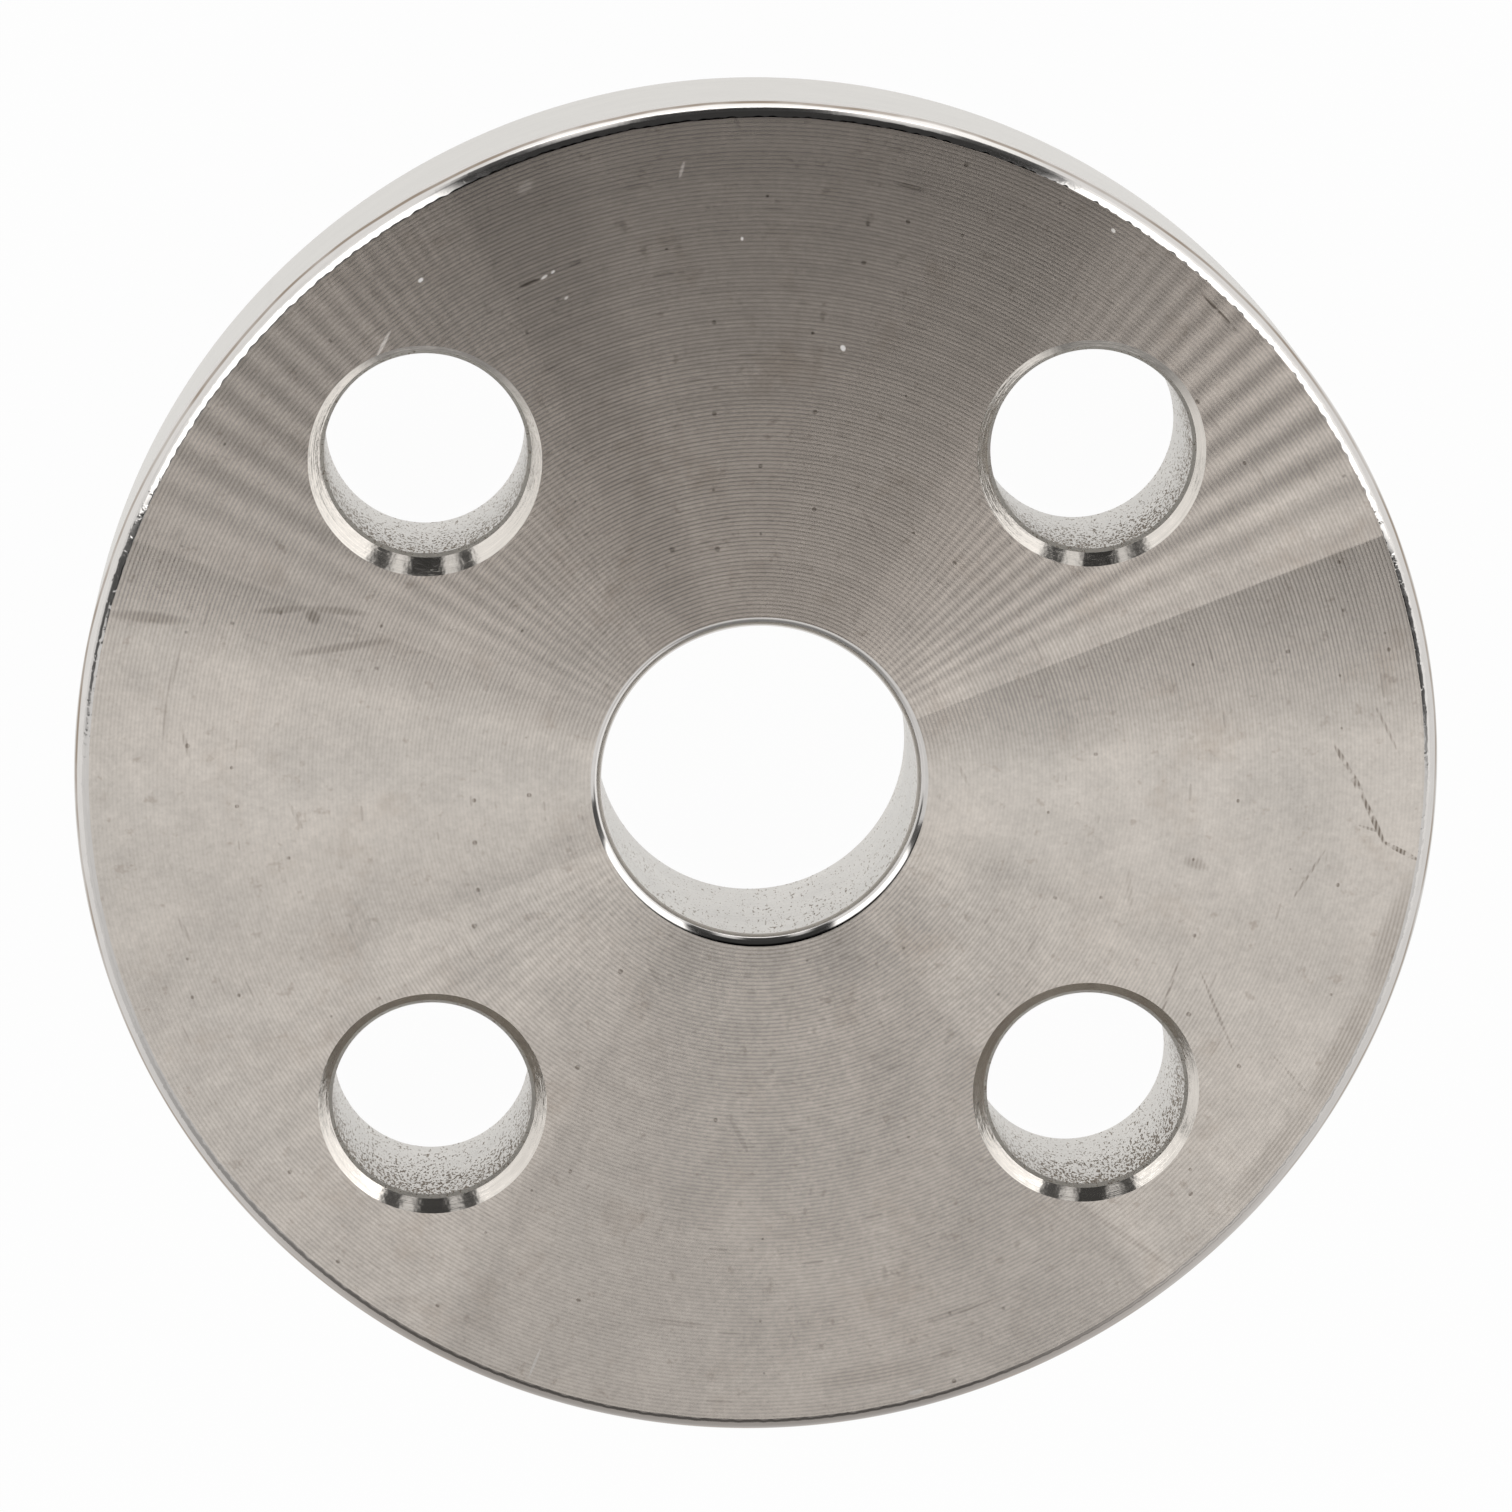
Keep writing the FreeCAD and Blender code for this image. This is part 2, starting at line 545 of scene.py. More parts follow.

# Marks on the front face: start, end and width in millimetres, and how dark. Smudges are soft, scores
# broken by the grooves, nicks bright with a painted glint.
SMUDGES = [
    ((-44.8, 12.4), (-39.6, 11.9), 1.12, 0.55),
    ((-34.8, 12.5), (-31.0, 12.7), 0.68, 0.45),
    ((-31.0, 12.7), (-27.3, 12.3), 0.75, 0.50),
    ((-30.9, 12.2), (-30.7, 12.0), 1.20, 0.70),
    ((-32.8, 9.4), (-25.3, 10.4), 0.75, 0.45),
    ((-39.9, 10.0), (-41.0, 6.4), 0.45, 0.30),
    ((-41.0, 6.4), (-41.2, 3.6), 0.45, 0.30),
    ((-39.9, 4.0), (-39.5, 2.3), 0.45, 0.35),
    ((11.5, -39.4), (16.9, -37.8), 0.60, 0.25),
    ((-8.6, -38.8), (-2.9, -39.6), 0.60, 0.22),
    ((22.0, -30.4), (29.8, -36.0), 0.60, 0.22),
    ((4.0, -43.9), (12.0, -42.6), 2.10, 0.22),
    ((27.0, 17.4), (29.6, 17.9), 0.68, 0.30),
    ((45.4, -8.5), (43.2, -15.5), 2.80, 0.42),
    ((43.2, -15.5), (39.0, -24.0), 2.60, 0.38),
    ((39.0, -24.0), (33.5, -31.0), 2.20, 0.30),
    ((30.0, -5.9), (31.0, -6.3), 1.10, 0.45),
    ((25.8, -6.6), (26.0, -9.5), 0.60, 0.22),
]
SCORES = [
    ((40.2, 2.1), (41.25, 0.4), 0.42, 0.80),
    ((41.25, 0.4), (42.2, -1.5), 0.56, 0.85),
    ((42.2, -1.5), (43.7, -4.7), 0.48, 0.95),
    ((43.7, -4.7), (46.1, -6.0), 0.42, 1.0),
    ((42.0, -3.5), (43.5, -4.0), 0.25, 0.60),
    ((42.7, 5.5), (44.6, 1.7), 0.26, 0.45),
    ((39.5, -5.4), (37.4, -8.7), 0.26, 0.55),
    ((30.2, 34.3), (32.9, 31.3), 0.32, 0.95),
    ((9.0, 42.0), (11.2, 41.4), 0.35, 0.70),
    ((-16.3, 35.0), (-15.2, 35.4), 0.36, 0.90),
    ((-12.9, 36.4), (-12.3, 36.7), 0.34, 0.60),
    ((-14.2, 34.0), (-13.6, 34.1), 0.34, 0.70),
    ((31.0, -14.0), (33.4, -19.8), 0.28, 0.50),
    ((29.4, -13.2), (28.2, -17.2), 0.28, 0.55),
    ((36.2, -20.1), (38.8, -23.0), 0.26, 0.35),
]
NICKS = [
    ((-5.2, 43.4), (-5.5, 42.4), 0.30, 0.16),
    ((5.65, 30.6), (5.70, 30.5), 0.42, 1.0),
    ((-26.2, 30.2), (-25.3, 31.9), 0.32, 0.32),
    ((-27.2, 29.0), (-26.3, 29.6), 0.40, 0.30),
    ((-14.9, 35.5), (-14.6, 35.7), 0.24, 0.50),
    ((-14.2, 35.9), (-14.1, 36.0), 0.22, 0.55),
    ((-13.3, 34.1), (-13.2, 34.2), 0.24, 0.35),
    ((-15.5, -41.0), (-16.3, -43.0), 0.26, 0.30),
    ((24.1, 38.6), (24.2, 38.5), 0.30, 0.60),
    ((-1.25, 38.2), (-1.25, 38.1), 0.24, 0.45),
    ((-23.2, 35.4), (-23.1, 35.5), 0.34, 0.75),
    ((-16.2, 41.6), (-15.8, 42.0), 0.90, 0.09),
    ((10.8, -44.7), (11.6, -44.5), 0.45, 0.30),
]


def polar(graph, x, y):
    """Radius in metres, angle in radians and the outward direction round the bore's axis."""
    squares = graph.total(graph.product(x, x), graph.product(y, y))
    outward = graph.vector("NORMALIZE", graph.combine(x, y, 0.0))
    return graph.math("SQRT", squares), graph.math("ARCTAN2", y, x), outward


def groove_fade(graph, radius, angle):
    """How far the grooves fade, near the top and the bottom of the face's outer part."""
    rise = graph.math("SINE", angle)
    height = graph.math("POWER", graph.math("ABSOLUTE", rise), FADE_POWER)
    return graph.product(height, graph.remap(rise, *FADE_HEIGHTS), graph.remap(radius, *FADE_RADII))


def groove(graph, radius, angle, fade, seed):
    """The tool's spiral groove: its lean, which differs a little from turn to turn, and its crest."""
    pitches = graph.math("DIVIDE", radius, GROOVE_PITCH)
    turns = graph.math("SUBTRACT", pitches, graph.math("DIVIDE", angle, FULL_TURN))
    across = graph.math("SUBTRACT", graph.math("FRACT", turns), 0.5)
    chance = graph.white(graph.total(turns, seed))
    depth = graph.remap(chance, 0.0, 1.0, *GROOVE_SLOPES, smooth=False)
    lean = graph.centred(graph.white(graph.total(turns, seed + GROOVE_LEAN_SEED)), GROOVE_LEAN)
    sway = graph.noise_line(graph.total(radius, seed), *GROOVE_SWAY_NOISE)
    crest = graph.remap(graph.math("ABSOLUTE", across), *GROOVE_CREST)
    across = graph.product(across, graph.math("SUBTRACT", 1.0, fade))
    return graph.total(graph.product(across, depth), lean, graph.centred(sway, GROOVE_SWAY)), crest


def painted_groove_shade(graph, angle, fade, crest):
    """How much lighter a groove is, and its crests darker: painted highlight and painted shade."""
    side = graph.math("ABSOLUTE", graph.total(graph.math("SINE", angle), PAINTED_SHADE_LIFT))
    crest_shade = graph.remap(side, *PAINTED_SHADE_SIDES, SIDE_PAINTED_SHADE, CREST_PAINTED_SHADE)
    crest_shade = graph.product(crest_shade, graph.math("SUBTRACT", 1.0, fade))
    return graph.product(graph.math("SUBTRACT", PAINTED_HIGHLIGHT_BALANCE, crest), crest_shade)


def face_metal_and_shade_tint(graph, angle, cloud):
    """The steel's colour with a painted warm tint of the shade, strongest near the top of the face."""
    rise = graph.math("SINE", angle)
    height = graph.math("MAXIMUM", rise, graph.product(rise, -WARM_BOTTOM))
    return graph.mix(graph.total(height, WARM_BASE, graph.centred(cloud, WARM_CLOUD)), STEEL, WARM_STEEL)


def patched(graph, colour, place):
    for noise, levels, depth, tint in PATCHES:
        shown = graph.remap(graph.noise(place, *noise), *levels, 0.0, depth)
        colour = graph.mix(shown, colour, tint)
    return colour


def on_crests(graph, crest, least):
    """One on the crests between the grooves, and less beside them, down to the least."""
    return graph.remap(crest, 0.0, 1.0, least, 1.0)


def specks(graph, place, scale, size, share):
    """Small dots in a share of the cells of a flat grid with this many cells a metre."""
    cells = graph.node("ShaderNodeTexVoronoi", voronoi_dimensions="2D", feature="F1")
    graph.feed(cells.inputs["Vector"], place)
    cells.inputs["Scale"].default_value = scale
    colour = graph.node("ShaderNodeSeparateColor")
    graph.feed(colour.inputs[0], cells.outputs["Color"])
    chosen = graph.math("LESS_THAN", colour.outputs[0], share)
    chance = graph.remap(colour.outputs[1], 0.0, 1.0, SPECK_LEAST, 1.0, smooth=False)
    dot = graph.math("LESS_THAN", cells.outputs["Distance"], graph.product(chance, size))
    return graph.product(dot, chosen)


def face_dirt(graph, x, y, z, radius, angle, crest):
    """How much dirt sits on the face: dots, dashes along the grooves and scuffs aslant."""
    dots = specks(graph, graph.combine(x, y, z), *DOTS)
    round_place = graph.combine(
        graph.product(radius, DASH_ACROSS), graph.product(angle, DASH_ALONG), 0.0,
    )
    dashes = specks(graph, round_place, *DASHES)
    sheared = graph.combine(
        graph.total(x, graph.product(y, SCUFF_SHEAR)),
        graph.product(graph.math("SUBTRACT", y, x), SCUFF_SQUEEZE), 0.0,
    )
    scuffs = specks(graph, sheared, *SCUFFS)
    faint = graph.product(graph.math("MAXIMUM", dashes, scuffs), DASH_DEPTH)
    dirt = graph.math("MAXIMUM", graph.product(dots, DOT_DEPTH), faint)
    return graph.product(dirt, on_crests(graph, crest, DIRT_IN_GROOVE))


def stroke(graph, place, start, end, width, depth, core):
    """A long oval mark in millimetres, at its full depth over its core, which is a share of its reach."""
    run = Vector((end[0] - start[0], end[1] - start[1]))
    oval = graph.node("ShaderNodeMapping", vector_type="TEXTURE")
    graph.feed(oval.inputs["Vector"], place)
    oval.inputs["Location"].default_value = ((start[0] + end[0]) / 2, (start[1] + end[1]) / 2, 0.0)
    oval.inputs["Rotation"].default_value = (0.0, 0.0, math.atan2(run.y, run.x))
    oval.inputs["Scale"].default_value = (STROKE_REACH * run.length + width / 2, width / 2, 1.0)
    return graph.remap(graph.vector("LENGTH", oval.outputs[0]), core, 1.0, depth, 0.0)


def strokes(graph, place, marks, core):
    shown = None
    for mark in marks:
        drawn = stroke(graph, place, *mark, core)
        shown = drawn if shown is None else graph.math("MAXIMUM", shown, drawn)
    return shown


def worn_marks(graph, x, y, z, smear, crest):
    """How dark the scores and smudges are, and how bright the nicks' painted glints are."""
    in_mm = [graph.product(value, 1 / MM) for value in (x, y)]
    place = graph.combine(*in_mm, 0.0)
    broken = graph.remap(graph.noise(graph.combine(x, y, z), *SCORE_BREAK), *SCORE_BREAK_LEVELS)
    scores = graph.product(
        strokes(graph, place, SCORES, SCORE_CORE), broken, on_crests(graph, crest, SCORE_IN_GROOVE),
    )
    smudges = graph.product(
        strokes(graph, place, SMUDGES, SMUDGE_CORE), graph.remap(smear, *SMUDGE_LEVELS),
        on_crests(graph, crest, SMUDGE_IN_GROOVE),
    )
    return graph.math("MAXIMUM", scores, smudges), strokes(graph, place, NICKS, NICK_CORE)


def turned_face_material(name, seed, worn):
    """A turned face: grooves with painted shade on their crests and painted highlight in their bottoms, a
    painted warm tint near the top, an uneven tone, patches and dirt, and marks where worn, with painted
    glints on the nicks.
    """
    material = bpy.data.materials.new(name)
    graph = Graph(material)
    x, y, z = graph.position()
    radius, angle, outward = polar(graph, x, y)
    place = graph.combine(graph.total(x, seed), y, z)
    cloud = graph.noise(place, *CLOUD)
    smear = graph.noise(place, *SMEAR)
    fine = graph.noise(place, *FINE)

    fade = groove_fade(graph, radius, angle)
    lean, crest = groove(graph, radius, angle, fade, seed)
    lean = graph.total(
        lean, graph.centred(cloud, CLOUD_LEAN), graph.centred(smear, SMEAR_LEAN),
        graph.centred(fine, FINE_LEAN),
    )
    # The shade takes in the painted shade on the groove crests and the painted highlight in the grooves.
    shade = graph.total(
        1.0, graph.centred(cloud, CLOUD_SHADE), graph.centred(smear, SMEAR_SHADE),
        graph.centred(fine, FINE_SHADE), painted_groove_shade(graph, angle, fade, crest),
    )
    # The face's colour carries a painted warm tint of the shade near its top and bottom.
    colour = graph.vector("SCALE", face_metal_and_shade_tint(graph, angle, cloud), scale=shade)
    colour = patched(graph, colour, place)
    colour = graph.mix(face_dirt(graph, x, y, z, radius, angle, crest), colour, GRIME)
    if worn:
        dark, light = worn_marks(graph, x, y, z, smear, crest)
        colour = graph.mix(dark, colour, GRIME)
        # The nicks' white is a painted glint; their lean is real.
        colour = graph.mix(light, colour, PAINTED_GLINT_WHITE)
        lean = graph.total(lean, graph.product(light, graph.math("SINE", angle), -NICK_LEAN))

    facing = graph.node("ShaderNodeNewGeometry").outputs["Normal"]
    leaned = graph.vector("ADD", facing, graph.vector("SCALE", outward, scale=lean))
    gloss = graph.node("ShaderNodeBsdfAnisotropic")
    graph.feed(gloss.inputs["Color"], colour)
    gloss.inputs["Roughness"].default_value = FACE_ROUGHNESS
    gloss.inputs["Anisotropy"].default_value = FACE_ANISOTROPY
    graph.feed(gloss.inputs["Normal"], graph.vector("NORMALIZE", leaned))
    graph.feed(gloss.inputs["Tangent"], graph.vector("CROSS_PRODUCT", outward, (0.0, 0.0, 1.0)))
    graph.surface(gloss)
    return material


# Streaks: how closely they follow each other round the edge and down its depth, and their seed
EDGE_LINES = (130.0, 14000.0)
EDGE_BLUR = (700.0, 2500.0, 0.3)
EDGE_CHATTER = (620.0, 150.0, 0.9)
SIDE_LINES = (40.0, 9000.0)
SIDE_BLUR = (260.0, 500.0, 0.1)
WALL_LINES = (60.0, 3500.0)
STREAK_NOISE = (1.0, 3.0, 0.6)
BLUR_LEVELS = (0.3, 0.7)
BLUR_WAVE = 2.0

# How far lines and blur shade each kind of surface
EDGE_SHADES = (0.30, 0.22)
RIM_SHADES = (0.20, 0.15)
SIDE_SHADES = (0.16, 0.08)

# Polished edges: their roughness, the height of their waves, and how many times that the chatter is
MOUTH_FINISH = (0.085, 0.0008 * MM, 2.0)
CONE_FINISH = (0.10, 0.005 * MM, 6.0)
ROUGHNESS_SPREAD = (0.8, 1.3)

# A thin line of brown soot wanders round the rim, close above its side
LINE_DEPTH = 0.86 * MM
LINE_CORE = 0.06 * MM
LINE_EDGE = 0.17 * MM
LINE_WANDER = 0.6 * MM
LINE_WANDER_NOISE = (60.0, 3.0)
LINE_PATCH_NOISE = (130.0, 3.0)
LINE_PATCHES = (0.32, 0.60, 0.30, 0.90)

# How bright the rim is by the angle round the plate: a painted dark reflection darkens it along the lower
# side
RIM_PAINTED_SHADE = [
    (0, 0.90), (20, 0.95), (60, 1.0), (170, 1.0), (200, 0.88), (222, 0.70), (240, 0.40), (285, 0.38),
    (305, 0.55), (330, 0.80), (350, 0.90), (359, 0.90),
]
SHADED_RIM_LEVELS = (0.4, 0.9)

# Where a painted highlight ring shows above the soot line, by the angle and by the depth
RIM_GLEAM = [(0, 0.0), (64, 0.0), (72, 1.0), (108, 1.0), (114, 0.0), (359, 0.0)]
GLEAM_STARTS = (0.35 * MM, 0.50 * MM)
GLEAM_ENDS = (0.80 * MM, 0.95 * MM)
GLEAM_STRENGTH = 0.4

# The rim's polish and its small dents, which are deepest at the left and right
RIM_ROUGHNESS = (0.07, 0.11)
RIM_WAVE = 0.0008 * MM
DENT_NOISE = (1500.0, 2.0)
DENT_LEVELS = (0.50, 0.68)
DENT_DEPTH = 0.007 * MM
DENT_SIDE_POWER = 4.0
DENT_SIDES, DENT_ALL_OVER = 0.9, 0.1

# The rim's side
SIDE_ROUGHNESS = 0.42
SIDE_WAVE = 0.006 * MM

# The walls' pits: their noise, how it is drawn out along the axis, how suddenly a pit sets in,
# how dark and how deep it is, and the depths, as parts of the thickness, between which pits
# begin to crowd
PIT_NOISE = (5600.0, 2.0, 0.65)
PIT_DRAW = 0.4
PIT_EDGE = 0.06
PIT_DARKNESS = 0.68
PIT_DEPTH = 0.010 * MM
PIT_CROWD_HEIGHTS = (0.2 * THICKNESS, 0.92 * THICKNESS)
PIT_ROUGHNESS = (0.45, 0.8)
WALL_PATCH_NOISE = (240.0, 3.0)
WALL_PATCH_LEVEL = 0.16
LINE_SHADE, PATCH_SHADE, GRAIN_SHADE = 0.16, 0.24, 0.30

# The noise level from which a wall is pitted, and how much lower it is near the front
BORE_PITS = (0.62, 0.03)
HOLE_PITS = (0.585, 0.100)


def streaks(graph, along, across, seed=0.0):
    """Noise drawn out round the hole or rim: coarse along the cut, fine down its depth."""
    x, y, z = graph.position()
    stretched = graph.combine(
        graph.product(graph.total(x, seed), along),
        graph.product(y, along),
        graph.product(z, across),
    )
    return graph.noise(stretched, *STREAK_NOISE)


def streak_shade(graph, lines, blur, shades):
    return graph.total(1.0, graph.centred(lines, shades[0]), graph.centred(blur, shades[1]))


def streak_waves(graph, lines, blur):
    return graph.total(lines, graph.product(blur, BLUR_WAVE))


def polished_material(name, metal, roughness, wave, chatter):
    """A polished edge with fine lines that run round it and chatter marks that run down it."""
    material = bpy.data.materials.new(name)
    graph = Graph(material)
    lines = streaks(graph, *EDGE_LINES)
    blur = streaks(graph, *EDGE_BLUR)
    colour = graph.vector("SCALE", metal[:3], scale=streak_shade(graph, lines, blur, EDGE_SHADES))
    marks = graph.product(streaks(graph, *EDGE_CHATTER), chatter)
    waves = graph.total(streak_waves(graph, lines, blur), marks)
    low, high = ROUGHNESS_SPREAD
    rough = graph.remap(blur, *BLUR_LEVELS, roughness * low, roughness * high)
    graph.steel(colour, rough, graph.product(waves, wave))
    return material


def soot_line(graph, z, round_place):
    """How dark the soot line is. It wanders up and down and is patchy."""
    wander = graph.centred(graph.noise(round_place, *LINE_WANDER_NOISE), LINE_WANDER)
    below = graph.math("SUBTRACT", THICKNESS - LINE_DEPTH, z)
    gap = graph.math("ABSOLUTE", graph.total(below, wander))
    line = graph.remap(gap, LINE_CORE, LINE_EDGE, 1.0, 0.0)
    patchy = graph.remap(graph.noise(round_place, *LINE_PATCH_NOISE), *LINE_PATCHES)
    return graph.product(line, patchy)


def rim_dents(graph, place, turn):
    """The height of the rim's small dents, in metres."""
    sideways = graph.math("ABSOLUTE", graph.math("COSINE", graph.product(turn, FULL_TURN)))
    sideways = graph.math("POWER", sideways, DENT_SIDE_POWER)
    dents = graph.remap(graph.noise(place, *DENT_NOISE), *DENT_LEVELS)
    return graph.product(dents, graph.math("MULTIPLY_ADD", sideways, DENT_SIDES, DENT_ALL_OVER), DENT_DEPTH)


def rim_material(name):
    """The polished round of the rim: a painted dark reflection along the lower side, a painted highlight
    ring near the top, dented at the left and right.
    """
    material = bpy.data.materials.new(name)
    graph = Graph(material)
    x, y, z = graph.position()
    turn = graph.turn(x, y)
    under = graph.math("SUBTRACT", THICKNESS, z)
    lines = streaks(graph, *EDGE_LINES)
    blur = streaks(graph, *EDGE_BLUR)
    # A painted highlight ring near the top of the rim.
    gleam = graph.product(
        graph.ramp(turn, RIM_GLEAM), graph.remap(under, *GLEAM_STARTS),
        graph.remap(under, *GLEAM_ENDS, 1.0, 0.0),
    )
    shade = streak_shade(graph, lines, blur, RIM_SHADES)
    shade = graph.total(shade, graph.product(gleam, GLEAM_STRENGTH))
    # A painted dark reflection darkens and warms the rim along its lower side.
    painted_rim_shade = graph.ramp(turn, RIM_PAINTED_SHADE)
    metal = graph.mix(graph.remap(painted_rim_shade, *SHADED_RIM_LEVELS), SHADED_RIM_TINT, POLISHED)
    colour = graph.vector("SCALE", metal, scale=graph.product(shade, painted_rim_shade))
    colour = graph.mix(soot_line(graph, z, graph.combine(x, y, 0.0)), colour, SOOT)
    waves = graph.product(streak_waves(graph, lines, blur), RIM_WAVE)
    height = graph.total(rim_dents(graph, graph.combine(x, y, z), turn), waves)
    graph.steel(colour, graph.remap(blur, *BLUR_LEVELS, *RIM_ROUGHNESS), height)
    return material


def side_material(name):
    """The rim's side: a finely turned, dull cylinder."""
    material = bpy.data.materials.new(name)
    graph = Graph(material)
    x, y, z = graph.position()
    lines = streaks(graph, *SIDE_LINES)
    shade = streak_shade(graph, lines, streaks(graph, *SIDE_BLUR), SIDE_SHADES)
    colour = graph.vector("SCALE", WALL[:3], scale=shade)
    colour = graph.mix(soot_line(graph, z, graph.combine(x, y, 0.0)), colour, SOOT)
    graph.steel(colour, SIDE_ROUGHNESS, graph.product(lines, SIDE_WAVE))
    return material


def wall_material(name, clean, crowd):
    """A drilled wall: dull and pale, with small brown pits that crowd towards the front."""
    material = bpy.data.materials.new(name)
    graph = Graph(material)
    x, y, z = graph.position()
    lines = streaks(graph, *WALL_LINES)
    grain = graph.noise(graph.combine(x, y, graph.product(z, PIT_DRAW)), *PIT_NOISE)
    patch = graph.noise(graph.combine(x, y, z), *WALL_PATCH_NOISE)
    front = graph.remap(z, *PIT_CROWD_HEIGHTS, 0.0, 1.0)
    level = graph.math("SUBTRACT", clean, graph.product(front, crowd))
    level = graph.math("SUBTRACT", level, graph.centred(patch, WALL_PATCH_LEVEL))
    pits = graph.remap(grain, level, graph.total(level, PIT_EDGE))
    shade = graph.total(
        1.0, graph.centred(lines, LINE_SHADE), graph.centred(patch, PATCH_SHADE),
        graph.centred(grain, GRAIN_SHADE),
    )
    colour = graph.vector("SCALE", WALL[:3], scale=shade)
    colour = graph.mix(graph.product(pits, PIT_DARKNESS), colour, SOOT)
    height = graph.product(graph.math("SUBTRACT", lines, pits), PIT_DEPTH)
    graph.steel(colour, graph.remap(pits, 0.0, 1.0, *PIT_ROUGHNESS), height)
    return material


# The back face has the same finish as the front, drawn with another seed and without its marks
BACK_SEED = 4.0


def plate_materials():
    return {
        "front_face": turned_face_material("turned_face", 0.0, True),
        "rim_round": rim_material("polished_rim"),
        "rim_side": side_material("turned_side"),
        "bore_mouth": polished_material("polished_mouth", POLISHED, *MOUTH_FINISH),
        "bore_wall": wall_material("bore_wall", *BORE_PITS),
        "countersink": polished_material("countersink_cone", CONE, *CONE_FINISH),
        "hole_wall": wall_material("hole_wall", *HOLE_PITS),
        "back_face": turned_face_material("turned_back", BACK_SEED, False),
    }


def dress_plate():
    materials = plate_materials()
    plate = plate_shell()
    for zone in ZONES:
        plate.data.materials.append(materials[zone])
    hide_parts("flange_plate")
    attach(plate, "root")


# The camera stands above the plate, a little towards its top edge. Measured from the middle of
# the front face.
CAMERA_LENS = 159.29
CAMERA_SENSOR = 36.0
CAMERA_CLIP = (0.01, 50)
CAMERA_OFFSET = Vector((-22.37, 107.47, 451.63)) * MM
CAMERA_FORWARD = Vector((0.04761, -0.22729, -0.97266)).normalized()
CAMERA_RIGHT = Vector((0.99881, 0.001, 0.04866)).normalized()

# The studio. Its panels are given as seen from the middle of the front face: x and y over
# height. Each line of light on the turned face fans out from the bore, because there the
# grooves run square to the line halfway between the camera and a panel.
PANEL_HEIGHT = 0.786

# The fans' stripes: where the first dark one lies, their spacing, and between which places
# they grow from weak to full
STRIPE_FIRST = 0.43
STRIPE_PITCH = 0.0795
STRIPE_GROWTH = (0.42, 0.62, 0.25, 1.0)

# The two fan panels: the angles of the fan between which each lies, in degrees, its level, how
# far that falls, and how deep its stripes are. Both lie between the same two slopes.
FAN_SLOPES = (0.075, 0.40)
FAN_RIGHT = (22.3, 63.0, 0.92, 0.52, 0.6)
FAN_LEFT = (117.0, 157.6, 0.41, 0.185, 0.65)
FAN_TURNS = 12
FAN_STEPS = 8

# The four front panels: how far they reach to the sides and to the front, where the left and
# the right one meet and start, where the near one starts and gives way to the far one, and the
# lines that part them, each through two points
FRONT_REACH = 2.2
FRONT_DEPTH = -1.6
FRONT_MIDDLE = 0.03
FRONT_START = -0.21
NEAR_START = -0.25
NEAR_END = -0.36
RIGHT_EDGE = [(0.096, -0.3), (0.805, -1.3)]
LEFT_EDGE = [(0.016, -0.3), (-0.506, -1.3)]
RIGHT_TOP = [(0.5, -0.211), (1.5, -0.306)]
LEFT_TOP = [(-0.5, -0.119), (-1.5, 0.007)]
FRONT_RIGHT_LEVEL = 0.877
FRONT_LEFT_LEVEL = 0.806
FRONT_NEAR_LEVEL = 1.0
FRONT_FAR_LEVEL = 0.575


def fan_point(angle, slope):
    """Where the face's middle, tilted outward by a slope at an angle, sees the plan in the camera."""
    seen = CAMERA_OFFSET.normalized()
    normal = Vector((slope * math.cos(angle), slope * math.sin(angle), 1.0)).normalized()
    ray = 2 * normal.dot(seen) * normal - seen
    return ray.x / ray.z, ray.y / ray.z


def fan_light(graph, level, fall, stripes):
    """A strength that falls and is striped with the angle at which a panel's light shows on the face."""
    x, y, _ = graph.position()
    away = graph.math("DIVIDE", 1.0, graph.vector("LENGTH", graph.combine(x, y, PANEL_HEIGHT)))
    toward = CAMERA_OFFSET.normalized()
    across = graph.math("ABSOLUTE", graph.math("MULTIPLY_ADD", x, away, toward.x))
    up = graph.math("MULTIPLY_ADD", y, away, toward.y)
    rise = graph.math("DIVIDE", up, across)
    shade = graph.math("MAXIMUM", graph.math("MULTIPLY_ADD", rise, -fall, level), 0.0)
    turn = graph.product(graph.math("SUBTRACT", rise, STRIPE_FIRST), FULL_TURN / STRIPE_PITCH)
    deep = graph.product(graph.math("COSINE", turn), graph.remap(rise, *STRIPE_GROWTH))
    return graph.product(shade, graph.math("MULTIPLY_ADD", deep, -stripes, 1.0))


def panel(name, points, faces, level, fall=0.0, stripes=0.0):
    """A flat lighting panel over the plate, seen in reflections and not by the camera."""
    height = PANEL_HEIGHT
    thing = add_mesh(name, [(x * height, y * height, height + THICKNESS) for x, y in points], faces)
    material = bpy.data.materials.new(name)
    graph = Graph(material)
    glow = graph.node("ShaderNodeEmission")
    graph.feed(glow.inputs["Strength"], fan_light(graph, level, fall, stripes) if fall else level)
    graph.surface(glow)
    thing.data.materials.append(material)
    thing.visible_camera = False


def glow_panel(name, corners, level):
    panel(name, corners, [tuple(range(len(corners)))], level)


def fan_panel(name, first, last, level, fall, stripes):
    """A panel whose sides lie along two angles of the fan, in degrees."""
    near, far = FAN_SLOPES
    points = []
    for turn in range(FAN_TURNS + 1):
        angle = math.radians(first + (last - first) * turn / FAN_TURNS)
        for step in range(FAN_STEPS + 1):
            points.append(fan_point(angle, near + (far - near) * step / FAN_STEPS))
    row = FAN_STEPS + 1
    faces = []
    for turn in range(FAN_TURNS):
        for step in range(FAN_STEPS):
            corner = turn * row + step
            faces.append((corner, corner + 1, corner + row + 1, corner + row))
    panel(name, points, faces, level, fall, stripes)


def x_on(edge, y):
    """The point at this y of the line through two points of the plan."""
    (xa, ya), (xb, yb) = edge
    return xa + (xb - xa) * (y - ya) / (yb - ya), y


def y_on(edge, x):
    """The point at this x of the line through two points of the plan."""
    (xa, ya), (xb, yb) = edge
    return x, ya + (yb - ya) * (x - xa) / (xb - xa)


